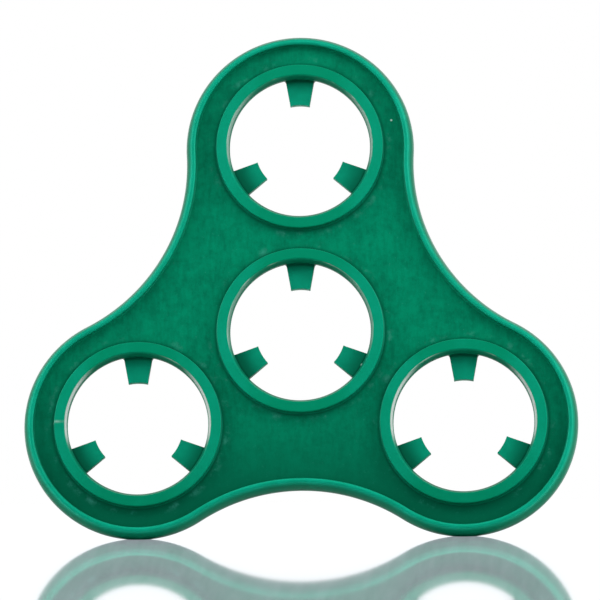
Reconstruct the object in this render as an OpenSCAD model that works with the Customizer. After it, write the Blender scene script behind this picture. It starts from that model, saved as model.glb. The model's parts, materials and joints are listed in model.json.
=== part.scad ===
// Three-lobed spinner body: one green moulding with four bearing seats.
// It is laid out flat, front face up and back face at z = 0, and stood up at the end,
// so that the front faces -Y and the top lobe points up +Z.
// The origin is the middle of the centre seat, half way through the thickness.

/* [Body] */
// Thickness over the rim and the seat rings
body_t = 3.4; // [3:0.1:5]
// How far the web lies below the rim and rings on the front
front_recess = 1.4; // [0.8:0.1:1.6]
// How far the web lies below the rim and rings on the back
back_recess = 0.4; // [0.2:0.1:0.6]
// Outer radius of each lobe
lobe_r = 17.85; // [17.3:0.05:19]
// Distance from the middle of the body to the middle of each waist
waist_r = 25; // [24:0.1:26]

/* [Rim] */
// Width of the raised rim that follows the outline
rim_w = 1.5; // [1.3:0.05:2]
// Rounding of the crest's inner edge, which is also how far in the crest lies
crest_inner_r = 0.35; // [0.2:0.05:0.5]
// Rounding of the crest's outer edge
crest_outer_r = 0.5; // [0.3:0.05:0.6]
// How far the outer side leans back where it leaves the crest, in degrees
crest_lean = 60; // [50:1:70]

/* [Bearing seats] */
// Radius of the straight land in each bore, for a standard bearing 22 mm across
seat_r = 11; // [10.9:0.05:11.1]
// How far the land starts below the front
land_depth = 1.1; // [0.6:0.1:1.3]
// Length of the land; the bore opens out on both sides of it
land_l = 0.9; // [0.5:0.1:1]
// Radius of the bore where it meets the chamfer at the front
mouth_r = 11.4; // [11.2:0.05:11.6]
// Radius of the bore at the back
back_mouth_r = 11.35; // [11.2:0.05:11.6]
// Outer radius of the raised ring round each seat
ring_r = 13.05; // [12.7:0.05:13.6]
// Distance from the centre seat to each outer seat
seat_spacing = 29.4; // [29:0.1:31]
// Chamfer on the ring's edges
ring_chamfer = 0.15; // [0.1:0.05:0.3]

/* [Claws] */
// Thickness of the claws, which lie flush with the back and stop the bearing
claw_t = 1.2; // [0.6:0.1:1.3]
// Radius that the claw tips reach
claw_tip_r = 7; // [6:0.05:9]
// Width of a claw at its tip
claw_tip_w = 3.05; // [2:0.05:4]
// Width of a claw at the radius of the land
claw_root_w = 4.5; // [3:0.1:6]

/* [Hidden] */
LOBES = ["top", "left", "right"];
LOBE_ANGLES = [90, 210, 330];
WAISTS = ["right", "left", "bottom"];
WAIST_ANGLES = [30, 150, 270];
SEATS = ["center", "top", "left", "right"];
SEAT_POSITIONS = [[0, 0], for (a = LOBE_ANGLES) polar(seat_spacing, a)];
CLAWS = ["up", "left", "right"];

// Each waist is an arc that runs smoothly into the two lobes beside it
waist_arc_r = (lobe_r * lobe_r - seat_spacing * seat_spacing - waist_r * waist_r + seat_spacing * waist_r)
              / (2 * waist_r - seat_spacing - 2 * lobe_r);
waist_spacing = waist_r + waist_arc_r;
arc_spacing = lobe_r + waist_arc_r;
// Half the sweep of a lobe arc and of a waist arc, in degrees
lobe_half = 180 - side_angle(seat_spacing, arc_spacing, waist_spacing);
waist_half = side_angle(waist_spacing, arc_spacing, seat_spacing);

// Where the crest's outer rounding runs into the long arc of the rim's outer side
crest_join = [crest_inner_r + crest_outer_r * sin(crest_lean),
              body_t - crest_outer_r * (1 - cos(crest_lean))];
side_arc_r = (rim_w - crest_join[0]) / (1 - sin(crest_lean));
side_arc_centre = crest_join - side_arc_r * [sin(crest_lean), cos(crest_lean)];

web_t = body_t - front_recess - back_recess;
// Height above the back at which the bore's back flare meets the land
flare_t = body_t - land_depth - land_l;
// Slope of a claw's sides, and how far cutting shapes run past what they cut
claw_slope = (claw_root_w - claw_tip_w) / 2 / (seat_r - claw_tip_r);
cut_past = 1;
$fn = 96;

function polar(r, angle) = r * [cos(angle), sin(angle)];

// Angle between sides a and b of a triangle whose third side is c
function side_angle(a, b, c) = acos((a * a + b * b - c * c) / (2 * a * b));

// Stands the flat layout up, front face toward -Y, with its middle plane through the origin
module stand_up() {
    rotate([90, 0, 0]) translate([0, 0, -body_t / 2]) children();
}

// The plate inside the rim: three lobes joined by a middle with three hollow sides
module web_outline() {
    for (a = LOBE_ANGLES)
        translate(polar(seat_spacing, a)) circle(r = lobe_r - rim_w);
    difference() {
        polygon([for (i = [0 : 2])
            each [polar(waist_spacing, 30 + 120 * i), polar(seat_spacing, LOBE_ANGLES[i])]]);
        for (a = WAIST_ANGLES)
            translate(polar(waist_spacing, a)) circle(r = waist_arc_r + rim_w);
    }
}

module web_plate() {
    color("#00795a") stand_up()
        translate([0, 0, back_recess]) linear_extrude(web_t)
            difference() {
                web_outline();
                for (p = SEAT_POSITIONS) translate(p) circle(r = ring_r);
            }
}

// Points along an arc, without its first point
function arc(centre, r, from, to, steps) =
    [for (i = [1 : steps]) centre + polar(r, from + (to - from) * i / steps)];

// Rim section: inner wall at x = 0, back at y = 0, crest near the inner wall,
// and an outer side that leans back to the widest line at x = rim_w
module rim_section() {
    past_widest = asin(side_arc_centre[1] / side_arc_r);
    polygon([[0, 0], [0, body_t - crest_inner_r],
             each arc([crest_inner_r, body_t - crest_inner_r], crest_inner_r, 180, 90, 5),
             each arc([crest_inner_r, body_t - crest_outer_r], crest_outer_r, 90, 90 - crest_lean, 5),
             each arc(side_arc_centre, side_arc_r, 90 - crest_lean, 0, 7),
             each arc(side_arc_centre, side_arc_r, 0, -past_widest, 2)]);
}

module rim_lobe(angle) {
    color("#05936f") stand_up()
        translate(polar(seat_spacing, angle)) rotate(angle - lobe_half)
            rotate_extrude(angle = 2 * lobe_half)
                translate([lobe_r - rim_w, 0]) rim_section();
}

module rim_waist(angle) {
    color("#05936f") stand_up()
        translate(polar(waist_spacing, angle)) rotate(angle + 180 - waist_half)
            rotate_extrude(angle = 2 * waist_half)
                translate([waist_arc_r + rim_w, 0]) mirror([1, 0]) rim_section();
}

// Section of a seat ring: the bore flares from its land to both faces
module ring_section() {
    c = ring_chamfer;
    polygon([[back_mouth_r, 0], [seat_r, flare_t], [seat_r, flare_t + land_l],
             [mouth_r, body_t - c], [mouth_r + c, body_t],
             [ring_r - c, body_t], [ring_r, body_t - c], [ring_r, c], [ring_r - c, 0]]);
}

module seat_ring(seat) {
    color("#05886a") stand_up()
        translate(SEAT_POSITIONS[seat]) rotate_extrude() ring_section();
}

// A claw narrows toward its tip, its tip is hollowed to the circle of claw_tip_r,
// and its root fills the bore's back flare
module claw(seat, direction) {
    reach = back_mouth_r + cut_past;
    half_outer = claw_root_w / 2 + claw_slope * (reach - seat_r);
    half_inner = claw_tip_w / 2 - claw_slope * cut_past;
    color("#017f5c") stand_up()
        translate(SEAT_POSITIONS[seat]) rotate(direction)
            intersection() {
                linear_extrude(claw_t)
                    difference() {
                        polygon([[claw_tip_r - cut_past, -half_inner], [reach, -half_outer],
                                 [reach, half_outer], [claw_tip_r - cut_past, half_inner]]);
                        circle(r = claw_tip_r);
                    }
                cylinder(h = flare_t, r1 = back_mouth_r, r2 = seat_r);
            }
}

web_plate();
for (i = [0 : 2]) {
    rim_lobe(LOBE_ANGLES[i]);
    rim_waist(WAIST_ANGLES[i]);
}
for (s = [0 : 3]) {
    seat_ring(s);
    for (c = [0 : 2])
        claw(s, LOBE_ANGLES[c]);
}
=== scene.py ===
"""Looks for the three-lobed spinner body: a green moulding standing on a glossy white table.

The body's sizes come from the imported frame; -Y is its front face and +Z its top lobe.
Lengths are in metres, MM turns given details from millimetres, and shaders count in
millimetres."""
import json
import math

import bmesh
import bpy
from mathutils import Matrix, Vector


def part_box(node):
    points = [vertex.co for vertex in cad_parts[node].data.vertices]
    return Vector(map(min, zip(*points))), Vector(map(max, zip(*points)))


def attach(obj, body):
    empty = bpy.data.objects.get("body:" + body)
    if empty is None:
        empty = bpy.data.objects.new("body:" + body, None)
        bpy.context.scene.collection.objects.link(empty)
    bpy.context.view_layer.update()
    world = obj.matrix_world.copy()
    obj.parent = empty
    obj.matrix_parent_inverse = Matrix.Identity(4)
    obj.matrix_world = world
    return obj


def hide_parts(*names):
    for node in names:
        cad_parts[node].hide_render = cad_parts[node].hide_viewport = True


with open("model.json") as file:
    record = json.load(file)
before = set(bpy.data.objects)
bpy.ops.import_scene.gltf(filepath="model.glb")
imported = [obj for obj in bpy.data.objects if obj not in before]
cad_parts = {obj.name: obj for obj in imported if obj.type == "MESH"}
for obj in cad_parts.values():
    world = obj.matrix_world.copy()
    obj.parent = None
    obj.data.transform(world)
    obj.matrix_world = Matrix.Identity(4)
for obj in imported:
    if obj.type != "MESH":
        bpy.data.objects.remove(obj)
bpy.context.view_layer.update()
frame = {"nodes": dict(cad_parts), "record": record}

MM = 0.001


# ---------------------------------------------------------------- sizes of the body

mounts = {m["name"]: m for m in frame["record"]["mounts"]}
SEATS = ("center", "top", "left", "right")
CLAWS = {"up": 90, "left": 210, "right": 330}
LOBE_ANGLES = {"top": 90, "left": 210, "right": 330}
WAIST_ANGLES = {"right": 30, "left": 150, "bottom": 270}

seat_centre = {s: Vector(mounts["seat_" + s]["pos_m"]) for s in SEATS}
seat_r = mounts["seat_center"]["dims"]["r_mm"] * MM
land_length = mounts["seat_center"]["dims"]["length_mm"] * MM
seat_spacing = seat_centre["top"].length
ring_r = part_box("seat_ring_center")[1].x
front_y, back_y = (corner.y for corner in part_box("seat_ring_center"))
web_front, web_back = (corner.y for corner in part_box("web_plate"))
lobe_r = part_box("rim_lobe_top")[1].z - seat_spacing
rim_w = lobe_r - (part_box("web_plate")[1].z - seat_spacing)
waist_r = rim_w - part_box("rim_waist_bottom")[1].z
claw_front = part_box("claw_center_up")[0].y
back_mouth_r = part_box("claw_center_up")[1].z

# Each waist is an arc that runs smoothly into the lobes beside it
waist_arc_r = ((lobe_r ** 2 - seat_spacing ** 2 - waist_r ** 2 + seat_spacing * waist_r)
               / (2 * waist_r - seat_spacing - 2 * lobe_r))
waist_spacing = waist_r + waist_arc_r

# Sections of the rim and rings, as in the CAD
LAND_DEPTH = 1.1 * MM
MOUTH_R = 11.4 * MM
CREST_INNER_R = 0.35 * MM
CREST_OUTER_R = 0.5 * MM
CREST_LEAN = 60.0
CLAW_TIP_R = 7.0 * MM
CLAW_TIP_W = 3.05 * MM
CLAW_ROOT_W = 4.5 * MM

# Small details of the moulding
EDGE_R = 0.15 * MM
FOOT_R = 0.3 * MM
BACK_FOOT_R = 0.12 * MM
SUNK = 0.03 * MM
CLAW_ROOT_FILLET = 0.4 * MM
CLAW_ROOT_SPREAD = 0.2 * MM
CLAW_EDGE_R = 0.12 * MM
FLECK_PLACE = Vector((14.35, 0, 33.65)) * MM
# Where a painted glint sits, near the root of a claw in the centre seat
GLINT_PLACE = Vector((9.55, 0, -5.25)) * MM


def polar(radius, degrees):
    """A point in the plane of the body."""
    a = math.radians(degrees)
    return Vector((radius * math.cos(a), 0, radius * math.sin(a)))


def side_angle(a, b, c):
    """Angle between sides a and b of a triangle whose third side is c, in degrees."""
    return math.degrees(math.acos((a * a + b * b - c * c) / (2 * a * b)))


def quarter(cx, cy, radius, start, end, steps=6):
    """Points along a small arc of a section, from one angle in degrees to another."""
    angles = [math.radians(start + (end - start) * i / steps) for i in range(steps + 1)]
    return [(cx + radius * math.cos(a), cy + radius * math.sin(a)) for a in angles]


# ---------------------------------------------------------------- meshes

def new_piece(name, vertices, faces, replaced):
    """A smooth mesh that stands for the CAD nodes named and moves with the body."""
    mesh = bpy.data.meshes.new(name)
    mesh.from_pydata(vertices, [], faces)
    mesh.validate()
    work = bmesh.new()
    work.from_mesh(mesh)
    bmesh.ops.recalc_face_normals(work, faces=work.faces)
    work.to_mesh(mesh)
    work.free()
    piece = bpy.data.objects.new(name, mesh)
    bpy.context.scene.collection.objects.link(piece)
    for face in mesh.polygons:
        face.use_smooth = True
    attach(piece, "root")
    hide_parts(*replaced)
    return piece


def loop_mesh(stations, section):
    """Closed tube of a closed section: each station maps a section point to a place."""
    vertices = [place(s, y) for place in stations for s, y in section]
    n, m = len(section), len(stations)
    faces = []
    for i in range(m):
        a, b = i * n, (i + 1) % m * n
        for j in range(n):
            k = (j + 1) % n
            faces.append((a + j, a + k, b + k, b + j))
    return vertices, faces


def rim_section():
    """Rim section: s runs inward from the outline, y from the front (negative) to the back."""
    lean = math.radians(CREST_LEAN)
    crest_s = rim_w - CREST_INNER_R
    # The crest's outer rounding runs into the long arc of the outer side
    join_out = CREST_INNER_R + CREST_OUTER_R * math.sin(lean)
    side_r = (rim_w - join_out) / (1 - math.sin(lean))
    side_s = rim_w - join_out + side_r * math.sin(lean)
    side_y = front_y + CREST_OUTER_R * (1 - math.cos(lean)) + side_r * math.cos(lean)
    past_widest = math.degrees(math.asin((back_y - side_y) / side_r))
    points = [(rim_w + 2 * FOOT_R, web_front + 6 * SUNK)]
    points += quarter(rim_w + FOOT_R, web_front - FOOT_R + SUNK, FOOT_R, 90, 180)
    points += quarter(crest_s, front_y + CREST_INNER_R, CREST_INNER_R, 0, -90)
    points += quarter(crest_s, front_y + CREST_OUTER_R, CREST_OUTER_R, -90, -90 - CREST_LEAN)[1:]
    points += quarter(side_s, side_y, side_r, -90 - CREST_LEAN, -180 - past_widest, 16)[1:]
    outer_s = points[-1][0]
    points += [(outer_s + EDGE_R, back_y)]
    points += quarter(rim_w - EDGE_R, back_y - EDGE_R, EDGE_R, 90, 0)
    points += quarter(rim_w + BACK_FOOT_R, web_back + BACK_FOOT_R - SUNK, BACK_FOOT_R, 180, 270)
    return points + [(rim_w + 2 * BACK_FOOT_R, web_back - 6 * SUNK)]


def outline_stations():
    """Places along the body's outline, once round, each taking (inward distance, depth)."""
    arc_spacing = lobe_r + waist_arc_r
    lobe_half = 180 - side_angle(seat_spacing, arc_spacing, waist_spacing)
    waist_half = side_angle(waist_spacing, arc_spacing, seat_spacing)

    def place(centre, angle, radius, inward):
        direction = polar(1, angle)
        return lambda s, y: centre + direction * (radius + inward * s) + Vector((0, y, 0))

    stations = []
    lobe_steps, waist_steps = 150, 44
    for lobe, waist in (("right", "right"), ("top", "left"), ("left", "bottom")):
        centre = seat_centre[lobe]
        for i in range(lobe_steps):
            angle = LOBE_ANGLES[lobe] - lobe_half + 2 * lobe_half * i / lobe_steps
            stations.append(place(centre, angle, lobe_r, -1))
        centre = polar(waist_spacing, WAIST_ANGLES[waist])
        for i in range(waist_steps):
            angle = WAIST_ANGLES[waist] + 180 + waist_half - 2 * waist_half * i / waist_steps
            stations.append(place(centre, angle, waist_arc_r, 1))
    return stations


def make_rim():
    nodes = ["rim_lobe_" + k for k in LOBE_ANGLES] + ["rim_waist_" + k for k in WAIST_ANGLES]
    vertices, faces = loop_mesh(outline_stations(), rim_section())
    return new_piece("rim", vertices, faces, nodes)


def ring_section():
    """Seat ring section: x is the radius and y the depth. The bore flares from its land."""
    near = 0.04 * MM
    land = front_y + LAND_DEPTH
    land_end = land + land_length
    flare = (back_mouth_r - seat_r) / (back_y - land_end)
    lead = (MOUTH_R - seat_r) / (land - front_y - EDGE_R)
    points = [(back_mouth_r, back_y), (back_mouth_r - near * flare, back_y - near)]
    points += [(seat_r + near * flare, land_end + near), (seat_r, land_end), (seat_r, land)]
    points += [(seat_r + near * lead, land - near), (MOUTH_R - near * lead, front_y + EDGE_R + near)]
    points += quarter(MOUTH_R + EDGE_R, front_y + EDGE_R, EDGE_R, 180, 270)
    points += [(MOUTH_R + 2 * EDGE_R, front_y), (ring_r - 2 * EDGE_R, front_y)]
    points += quarter(ring_r - EDGE_R, front_y + EDGE_R, EDGE_R, 270, 360)
    points += quarter(ring_r + FOOT_R, web_front - FOOT_R + SUNK, FOOT_R, 180, 90)
    points += [(ring_r + 2 * FOOT_R, web_front + 6 * SUNK), (ring_r + 2 * FOOT_R, web_back - 6 * SUNK)]
    points += quarter(ring_r + BACK_FOOT_R, web_back + BACK_FOOT_R - SUNK, BACK_FOOT_R, 270, 180)
    points += quarter(ring_r - EDGE_R, back_y - EDGE_R, EDGE_R, 0, 90)
    return points + [(ring_r - 2 * EDGE_R, back_y), (back_mouth_r + near, back_y)]


def make_ring(seat):
    steps = 240
    centre = seat_centre[seat]

    def place(angle):
        direction = polar(1, angle)
        return lambda r, y: centre + direction * r + Vector((0, y, 0))

    stations = [place(360 * i / steps) for i in range(steps)]
    vertices, faces = loop_mesh(stations, ring_section())
    return new_piece("ring_" + seat, vertices, faces, ["seat_ring_" + seat])


def claw_outline():
    """One claw in its own plane: x outward along the radius, w across it."""
    steps, tip_steps = 30, 8
    side = []
    for i in range(steps + 1):
        x = CLAW_TIP_R + (back_mouth_r - CLAW_TIP_R) * i / steps
        along = (x - CLAW_TIP_R) / (seat_r - CLAW_TIP_R)
        w = (CLAW_TIP_W + (CLAW_ROOT_W - CLAW_TIP_W) * along) / 2
        near_root = max(0.0, 1 - (seat_r - x) / CLAW_ROOT_FILLET)
        side.append((x, w + CLAW_ROOT_SPREAD * near_root ** 2))
    tip_half = math.asin(CLAW_TIP_W / 2 / CLAW_TIP_R)
    side[0] = (CLAW_TIP_R * math.cos(tip_half), CLAW_TIP_W / 2)
    tip = [(CLAW_TIP_R * math.cos(a), CLAW_TIP_R * math.sin(a))
           for a in (tip_half * (2 * i / tip_steps - 1) for i in range(1, tip_steps))]
    return [(x, -w) for x, w in reversed(side)] + tip + side


def make_claw(seat, way):
    turn = Matrix.Rotation(-math.radians(CLAWS[way]), 4, "Y")
    outline = claw_outline()
    n = len(outline)
    vertices = [seat_centre[seat] + turn @ Vector((x, y, w))
                for y in (claw_front, back_y) for x, w in outline]
    faces = [tuple(range(n)), tuple(reversed(range(n, 2 * n)))]
    faces += [(j, n + j, n + (j + 1) % n, (j + 1) % n) for j in range(n)]
    name = f"claw_of_{seat}_{way}"
    piece = new_piece(name, vertices, faces, [f"claw_{seat}_{way}"])
    bevel = piece.modifiers.new("softened edges", "BEVEL")
    bevel.width = CLAW_EDGE_R
    bevel.segments = 3
    bevel.limit_method = "ANGLE"
    bevel.angle_limit = math.radians(40)
    bevel.harden_normals = True
    return piece


# ---------------------------------------------------------------- materials

class Value:
    """A number in a shader, which Python arithmetic turns into Math nodes."""

    def __init__(self, shader, socket):
        self.shader, self.socket = shader, socket

    def _math(self, operation, *operands):
        node = self.shader.node("Math", {"operation": operation}, dict(enumerate(operands)))
        return Value(self.shader, node.outputs[0])

    def __add__(self, other): return self._math("ADD", self, other)
    def __radd__(self, other): return self._math("ADD", other, self)
    def __sub__(self, other): return self._math("SUBTRACT", self, other)
    def __rsub__(self, other): return self._math("SUBTRACT", other, self)
    def __mul__(self, other): return self._math("MULTIPLY", self, other)
    def __rmul__(self, other): return self._math("MULTIPLY", other, self)
    def __truediv__(self, other): return self._math("DIVIDE", self, other)
    def __pow__(self, other): return self._math("POWER", self, other)

    def least(self, other): return self._math("MINIMUM", self, other)
    def most(self, other): return self._math("MAXIMUM", self, other)
    def size(self): return self._math("ABSOLUTE", self)

    def band(self, middle, half_width):
        """1 where the value is near middle, falling to 0 at half_width from it."""
        return (1 - (self - middle).size() / half_width).most(0.0)

    def step(self, low, high):
        """0 below low, 1 above high, smooth between."""
        node = self.shader.node("MapRange", {"interpolation_type": "SMOOTHSTEP"},
                                {"Value": self, "From Min": low, "From Max": high})
        return Value(self.shader, node.outputs["Result"])


class Shader:
    """The node tree of a material or world, with one method that adds any node."""

    def __init__(self, owner, coordinates="Object", per_unit=1 / MM):
        owner.use_nodes = True
        self.owner, self.tree = owner, owner.node_tree
        where = self.node("TexCoord").outputs[coordinates]
        scaled = self.node("VectorMath", {"operation": "SCALE"}, {0: where, "Scale": per_unit})
        self.place = scaled.outputs[0]
        split = self.node("SeparateXYZ", {}, {0: self.place})
        self.x, self.y, self.z = (Value(self, o) for o in split.outputs)

    def node(self, kind, settings=None, sockets=None):
        node = self.tree.nodes.new("ShaderNode" + kind)
        for key, value in (settings or {}).items():
            setattr(node, key, value)
        for key, value in (sockets or {}).items():
            self.feed(node.inputs[key], value)
        return node

    def feed(self, socket, value):
        """Links a socket, or sets its constant."""
        if isinstance(value, Value):
            value = value.socket
        if isinstance(value, bpy.types.NodeSocket):
            self.tree.links.new(value, socket)
        else:
            socket.default_value = value

    def noise(self, scale, detail=2.0, roughness=0.5, stretch=(1, 1, 1), offset=0.0):
        """Noise about 0.5, with scale in cycles per millimetre."""
        moved = self.node("VectorMath", {"operation": "MULTIPLY_ADD"},
                          {0: self.place, 1: stretch, 2: (offset, offset * 0.7, offset * 1.3)})
        node = self.node("TexNoise", {}, {"Vector": moved.outputs[0], "Scale": scale,
                                          "Detail": detail, "Roughness": roughness})
        return Value(self, node.outputs[0])

    def mix(self, factor, a, b):
        """Colour a where factor is 0 and b where it is 1."""
        node = self.node("Mix", {"data_type": "RGBA"}, {"Factor": factor})
        self.feed(node.inputs[6], a)
        self.feed(node.inputs[7], b)
        return node.outputs[2]

    def distance_to(self, centre):
        """Distance in millimetres from an axis through centre, in the plane of the body."""
        dx, dz = self.x - centre.x / MM, self.z - centre.z / MM
        return (dx * dx + dz * dz) ** 0.5

    def nearest_seat(self):
        """Distance in millimetres from the nearest seat's axis."""
        distances = [self.distance_to(seat_centre[seat]) for seat in SEATS]
        nearest = distances[0]
        for distance in distances[1:]:
            nearest = nearest.least(distance)
        return nearest

    def spot(self, centre, radius_mm):
        """1 at centre, fading to 0 at radius_mm."""
        return self.distance_to(centre).step(radius_mm, radius_mm / 2)

    def bump(self, height, depth_mm):
        """Roughens the surface by height, which counts in depths."""
        node = self.node("Bump", {}, {"Height": height, "Distance": depth_mm * MM, "Strength": 1.0})
        self.feed(self.tree.nodes["Principled BSDF"].inputs["Normal"], node.outputs[0])

    def plastic(self, colour, roughness, specular):
        """Finishes a material whose reflections are tinted green."""
        surface = self.tree.nodes["Principled BSDF"].inputs
        self.feed(surface["Base Color"], colour)
        self.feed(surface["Roughness"], roughness)
        self.feed(surface["Specular IOR Level"], specular)
        self.feed(surface["Specular Tint"], SPEC_TINT)
        return self.owner

    def output(self, shader, kind):
        """Feeds the tree's output node."""
        self.feed(self.tree.nodes[kind + " Output"].inputs["Surface"], shader.outputs[0])
        return self.owner


def new_material(name):
    """A shader for a new material."""
    return Shader(bpy.data.materials.new(name))


# Linear colours of the plastic, its marks, the painted shade, highlights and glints laid on it, and the
# tint of its reflections
GREEN = (0.0, 0.275, 0.138, 1)
DEEP_TONE_AND_SHADE_GREEN = (0.0, 0.185, 0.092, 1)
BRIGHT_TONE_AND_LIT_GREEN = (0.002, 0.345, 0.200, 1)
CREST_HIGHLIGHT_GREEN = (0.003, 0.43, 0.265, 1)
SHADED_GREEN = (0.0, 0.125, 0.062, 1)
CORNER_SHADE_GREEN = (0.0, 0.085, 0.042, 1)
HAZE = (0.05, 0.36, 0.27, 1)
FLECK_AND_GLINT = (0.55, 0.80, 0.72, 1)
MOUTH_HIGHLIGHT = (0.74, 0.80, 0.76, 1)
SPEC_TINT = (0.10, 1.0, 0.75, 1)

# How strongly the wall at the sides of each bore's upper mouth is painted pale: a painted highlight
MOUTH_HIGHLIGHT_SHARE = {"center": 0.25, "top": 0.4, "left": 0.85, "right": 0.85}
# How much painted shade darkens each claw toward its root
CLAW_SHADE = {"up": 0.0, "left": 0.95, "right": 0.6}


def web_finish():
    """Hazy moulded face: soft mottling, faint upright flow streaks, scuffs beside the rings, painted shade
    in the corners at their feet and painted shade over the lower lobes."""
    s = new_material("hazy moulded web")
    clouds = s.noise(0.20, 3.0, 0.55)
    mottle = s.noise(0.7, 3.0, 0.6, offset=61.0)
    grain = s.noise(1.3, 6.0, 0.75, offset=7.0)
    streaks = s.noise(0.9, 5.0, 0.7, stretch=(2.0, 1, 0.45), offset=19.0)
    tone = ((clouds - 0.5) * 1.8 + (mottle - 0.5) * 1.6 + (grain - 0.5) * 2.2
            + (streaks - 0.5) * 1.8 + 0.55)
    colour = s.mix(tone.most(0.0).least(1.0), DEEP_TONE_AND_SHADE_GREEN, GREEN)
    # Painted shade: the web grows darker toward the bottom of the body, where less light falls
    painted_low_shade = s.z.step(-6, -29)
    colour = s.mix(painted_low_shade * 0.95, colour, SHADED_GREEN)
    scuff = s.noise(0.45, 5.0, 0.7, offset=31.0).step(0.52, 0.72)
    nearest = s.nearest_seat()
    foot = ring_r / MM
    haze = nearest.band(foot + 0.9, 0.8) * scuff * 0.6
    specks = s.noise(1.7, 5.0, 0.8, offset=47.0).step(0.60, 0.80) * 0.5
    colour = s.mix((haze + specks).least(1.0), colour, HAZE)
    # Painted shade in the corner at the foot of each ring
    colour = s.mix(nearest.step(foot + 0.8, foot + 0.1) * 0.7, colour, CORNER_SHADE_GREEN)
    colour = s.mix(s.spot(FLECK_PLACE, 0.22), colour, FLECK_AND_GLINT)
    s.bump(clouds * 0.6 + grain * 0.6 + streaks * 0.4, 0.03)
    return s.plastic(colour, (grain - 0.5) * 0.2 + 0.5, 0.2)


def rim_finish():
    """Rim plastic: a painted highlight makes it bright along the crest, and painted shade makes it darker
    down both sides.
    """
    s = new_material("rim plastic")
    tone = s.noise(0.3, 3.0, 0.5, offset=3.0)
    grain = s.noise(3.0, 2.0, 0.5, offset=11.0)
    # Painted highlight: the crest colour stands in for the light the crest catches
    mixed = s.mix((tone - 0.5) * 1.0 + (grain - 0.5) * 0.5 + 0.75, GREEN, CREST_HIGHLIGHT_GREEN)
    below_crest = s.y - front_y / MM
    # Painted shade down the rim's sides and into the corner at its foot
    mixed = s.mix(below_crest.step(0.08, 0.9) * 0.85, mixed, DEEP_TONE_AND_SHADE_GREEN)
    s.bump(tone * 0.4 + grain * 0.15, 0.012)
    return s.plastic(mixed, (tone - 0.5) * 0.15 + 0.32, 0.36)


def ring_finish(seat):
    """Ring plastic: smooth face painted lighter at its sides and darker toward the bottom, painted shade
    down the bore and outer wall, a painted highlight along its upper mouth, and on the left ring the weld
    line where the flows of plastic met, with a painted glint at its outer end."""
    s = new_material("ring plastic " + seat)
    centre = seat_centre[seat]
    tone = s.noise(0.3, 3.0, 0.5, offset=3.0)
    grain = s.noise(3.0, 2.0, 0.5, offset=11.0)
    sideways = (s.x - centre.x / MM).size()
    # Painted light: the face is painted lighter toward its left and right sides, where the side lamps
    # catch it, over its own random tone
    bright = sideways.step(4, 11) * 0.75 + (tone - 0.5) * 1.2 + (grain - 0.5) * 0.6
    mixed = s.mix(bright.most(0.0).least(1.0), GREEN, BRIGHT_TONE_AND_LIT_GREEN)
    # Painted shade: darker toward the bottom of the body
    mixed = s.mix(s.z.step(-8, -32) * 0.35, mixed, DEEP_TONE_AND_SHADE_GREEN)
    # Painted shade down the bore and the outer wall
    below_face = s.y - front_y / MM
    mixed = s.mix(below_face.step(0.1, 0.7) * 0.6, mixed, CORNER_SHADE_GREEN)
    # Painted highlight: a pale line at the upper mouth's edge and a pale band on the wall below it stand
    # in for the light they catch
    patchy = s.noise(0.25, 2.0, 0.5, offset=23.0).step(0.40, 0.55)
    upper = (s.z - centre.z / MM).step(-4, -1)
    around = s.distance_to(centre)
    mouth, bore = MOUTH_R / MM, seat_r / MM
    line = around.band(mouth + 0.02, 0.08) * patchy * sideways.step(3, 6) * 0.7
    wall = around.step(mouth + 0.08, mouth - 0.02) * around.step(bore + 0.02, bore + 0.2)
    painted_mouth_highlight = line.most(wall * sideways.step(6.5, 10) * MOUTH_HIGHLIGHT_SHARE[seat]) * upper
    mixed = s.mix(painted_mouth_highlight, mixed, MOUTH_HIGHLIGHT)
    height = tone * 0.4 + grain * 0.15
    if seat == "left":
        weld = s.z.band(centre.z / MM + 0.5, 0.3)
        outer = (centre.x - ring_r) / MM
        side = (s.x - outer).step(2.4, 1.4)
        # Painted glint at the weld line's outer end, beside the ring's outer edge; the faint line itself
        # is the real weld mark
        glint = (s.x - outer).band(0.4, 0.7)
        mixed = s.mix((weld * side * 0.12 + weld * glint * 0.35).least(1.0), mixed, FLECK_AND_GLINT)
        height = height + weld * side * 1.5
    s.bump(height, 0.012)
    return s.plastic(mixed, (tone - 0.5) * 0.15 + 0.42, 0.25)


def claw_finish(way):
    """Claw plastic: painted shade darkens the corner at the root, the claw is painted brighter toward the
    tip, and a painted glint sits near one claw root.
    """
    s = new_material("claw plastic " + way)
    tone = s.noise(0.5, 3.0, 0.5, offset=5.0)
    nearest = s.nearest_seat()
    bore = seat_r / MM
    # Painted shade and light: dark at the root, brighter toward the tip
    mixed = s.mix(nearest.step(bore + 0.4, bore - 1.6), DEEP_TONE_AND_SHADE_GREEN, BRIGHT_TONE_AND_LIT_GREEN)
    mixed = s.mix((tone - 0.5) * 0.8 + 0.2, mixed, DEEP_TONE_AND_SHADE_GREEN)
    # Painted shade toward the root, set per claw by CLAW_SHADE
    mixed = s.mix(nearest.step(bore - 3.5, bore - 0.4) * CLAW_SHADE[way], mixed, SHADED_GREEN)
    # Painted shade in the corner at the root
    mixed = s.mix(nearest.step(bore - 0.55, bore - 0.2) * 0.8, mixed, CORNER_SHADE_GREEN)
    # Painted glint
    mixed = s.mix(s.spot(GLINT_PLACE, 0.26) * 0.7, mixed, FLECK_AND_GLINT)
    s.bump(tone * 0.4, 0.012)
    return s.plastic(mixed, (tone - 0.5) * 0.15 + 0.45, 0.3)


def paint(piece, material):
    piece.data.materials.clear()
    piece.data.materials.append(material)


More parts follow.
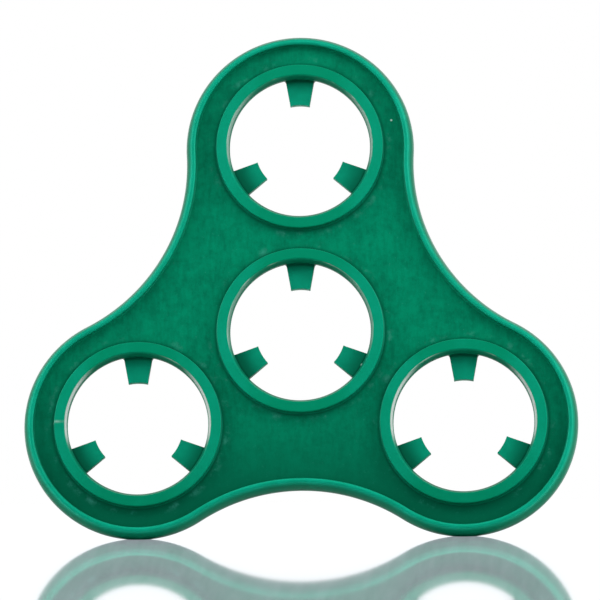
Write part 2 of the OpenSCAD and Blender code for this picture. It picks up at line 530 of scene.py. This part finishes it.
def make_body():
    """The moulding: web, rim, four seat rings and their claws."""
    paint(frame["nodes"]["web_plate"], web_finish())
    paint(make_rim(), rim_finish())
    claw_green = {way: claw_finish(way) for way in CLAWS}
    for seat in SEATS:
        paint(make_ring(seat), ring_finish(seat))
        for way in CLAWS:
            paint(make_claw(seat, way), claw_green[way])


# ---------------------------------------------------------------- table, light and camera

TABLE_TILT = 16.7
TABLE_FRONT, TABLE_BACK, TABLE_SIDE = 0.30, 0.05, 0.30
TABLE_GLOSS = 0.76
BACK_EDGE_LIFT = 0.12 * MM
# Colour of the table's painted glow
TABLE_WHITE = (1.03, 1.15, 1.26, 1)
CAMERA_TILT = 11.4
CAMERA_SWING = 2.0
CAMERA_ROLL = 0.20
CAMERA_DISTANCE = 2.1
CAMERA_AIM = Vector((-0.02 * MM, front_y, 4.75 * MM))
FIELD = 93.8 * MM
SENSOR = 36.0


def make_table():
    """A glossy white table under the lower lobes. The body leans back on it, so in the
    body's own frame it slopes down toward the front."""
    tilt = math.radians(TABLE_TILT)
    # The lower lobes touch the table with their rounded back edge
    touch = Vector((0, back_y, seat_centre["left"].z - lobe_r + BACK_EDGE_LIFT))
    along = Vector((0, math.cos(tilt), math.sin(tilt)))
    corners = [touch + along * d + Vector((x, 0, 0))
               for d, x in ((-TABLE_FRONT, -TABLE_SIDE), (-TABLE_FRONT, TABLE_SIDE),
                            (TABLE_BACK, TABLE_SIDE), (TABLE_BACK, -TABLE_SIDE))]
    mesh = bpy.data.meshes.new("table")
    mesh.from_pydata(corners, [], [(0, 1, 2, 3)])
    table = bpy.data.objects.new("table", mesh)
    bpy.context.scene.collection.objects.link(table)
    s = new_material("glossy white table")
    # Painted glow: the table glows white where it is seen at a glancing angle and shows dull grey
    # elsewhere
    grazing = s.node("LayerWeight", {}, {"Blend": 0.5}).outputs["Facing"]
    grazing = Value(s, grazing).step(0.6, 0.85)
    dull = s.node("BsdfDiffuse", {}, {"Color": (0.1, 0.1, 0.1, 1)})
    white = s.node("Emission", {}, {"Color": TABLE_WHITE, "Strength": 1.0})
    glancing_glow = s.node("MixShader", {}, {0: grazing, 1: dull.outputs[0], 2: white.outputs[0]})
    streaks = s.noise(0.5, 4.0, 0.6, stretch=(1.0, 0.05, 0.05))
    glossy = s.node("BsdfGlossy", {}, {"Color": (1, 1, 1, 1), "Roughness": 0.055})
    gloss = (streaks - 0.5) * 0.12 + TABLE_GLOSS
    both = s.node("MixShader", {}, {0: gloss, 1: glancing_glow.outputs[0], 2: glossy.outputs[0]})
    paint(table, s.output(both, "Material"))


def area_light(name, place, target, size, power):
    data = bpy.data.lights.new(name, "AREA")
    data.shape = "RECTANGLE"
    data.size, data.size_y = size
    data.energy = power
    light = bpy.data.objects.new(name, data)
    light.location = place
    light.rotation_euler = (Vector(target) - Vector(place)).to_track_quat("-Z", "Y").to_euler()
    bpy.context.scene.collection.objects.link(light)


WORLD_BEHIND = 1.0
WORLD_FRONT = 0.28

# Name, place, aim, size and power in watts
LAMPS = (("left softbox", (-0.25, -0.10, 0.10), (-0.02, 0, 0), (0.16, 0.22), 0.40),
         ("right softbox", (0.25, -0.10, 0.10), (0.02, 0, 0), (0.16, 0.22), 0.48),
         ("top softbox", (0, -0.17, 0.17), (0, 0, 0.03), (0.20, 0.10), 0.15))


def make_lights():
    """White surroundings straight behind the body, dimmer ones elsewhere, and three soft lamps."""
    world = bpy.data.worlds.new("white studio")
    bpy.context.scene.world = world
    s = Shader(world, "Generated", 1.0)
    behind = s.y.step(0.60, 0.85) * s.x.size().step(0.60, 0.35)
    dim = s.node("Background", {}, {"Color": (1, 1, 1, 1), "Strength": WORLD_FRONT})
    bright = s.node("Background", {}, {"Color": (1, 1, 1, 1), "Strength": WORLD_BEHIND})
    s.output(s.node("MixShader", {}, {0: behind, 1: dim.outputs[0], 2: bright.outputs[0]}), "World")
    for lamp in LAMPS:
        area_light(*lamp)


def make_camera():
    """Long lens, a little below the body's own axis, aimed just above the centre seat."""
    tilt, swing, roll = (math.radians(a) for a in (CAMERA_TILT, CAMERA_SWING, CAMERA_ROLL))
    forward = Vector((-math.sin(swing) * math.cos(tilt), math.cos(swing) * math.cos(tilt), math.sin(tilt)))
    level_right = Vector((math.cos(swing), math.sin(swing), 0))
    level_up = level_right.cross(forward)
    right = level_right * math.cos(roll) - level_up * math.sin(roll)
    up = level_right * math.sin(roll) + level_up * math.cos(roll)
    data = bpy.data.cameras.new("camera")
    data.sensor_width = SENSOR
    data.lens = SENSOR * CAMERA_DISTANCE / FIELD
    data.clip_end = 20
    camera = bpy.data.objects.new("camera", data)
    place = CAMERA_AIM - forward * CAMERA_DISTANCE
    camera.matrix_world = Matrix((
        (right.x, up.x, -forward.x, place.x),
        (right.y, up.y, -forward.y, place.y),
        (right.z, up.z, -forward.z, place.z),
        (0, 0, 0, 1)))
    bpy.context.scene.collection.objects.link(camera)
    bpy.context.scene.camera = camera


bpy.context.scene.view_settings.view_transform = "Standard"
make_body()
make_table()
make_lights()
make_camera()
